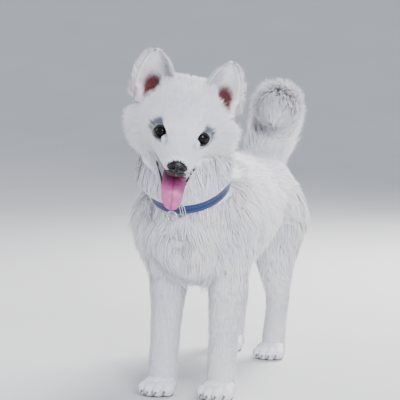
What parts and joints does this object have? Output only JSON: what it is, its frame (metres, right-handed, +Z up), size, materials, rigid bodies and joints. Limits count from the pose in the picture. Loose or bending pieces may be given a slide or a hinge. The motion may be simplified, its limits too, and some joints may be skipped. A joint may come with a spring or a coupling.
{
  "type": "samoyed puppy",
  "caption": "Life-size still model of a white samoyed puppy standing with head tilted, mouth open, tongue out and tail curled up, in a blue collar.",
  "frame": {"origin": "middle of the bounding box at floor level", "axes": "+Z up, -Y the way the dog's body faces, +X to the dog's left"},
  "size_m": [0.2045, 0.6317, 0.5262],
  "materials": {
    "coat": "long dense white double coat",
    "nose": "moist black pebbled skin",
    "skin": "black lips and lid rims",
    "mouth": "moist pink gums and ear lining",
    "eye": "polished dark brown",
    "tongue": "moist pink",
    "claw": "dull horn",
    "webbing": "blue woven webbing",
    "metal": "polished wire and plate"
  },
  "bodies": {
    "root": {"head": "coat", "jaw": "coat", "ear_left": "coat", "ear_right": "coat", "neck": "coat", "torso": "coat", "tail": "coat", "foreleg_left": "coat", "foreleg_right": "coat", "forepaw_left": "coat", "forepaw_right": "coat", "hindleg_left": "coat", "hindleg_right": "coat", "hindpaw_left": "coat", "hindpaw_right": "coat", "nose": "nose", "eye_left": "eye", "eye_right": "eye", "tongue": "tongue", "collar": "webbing", "collar_slider": "metal", "collar_ring": "metal"}
  },
  "joints": []
}
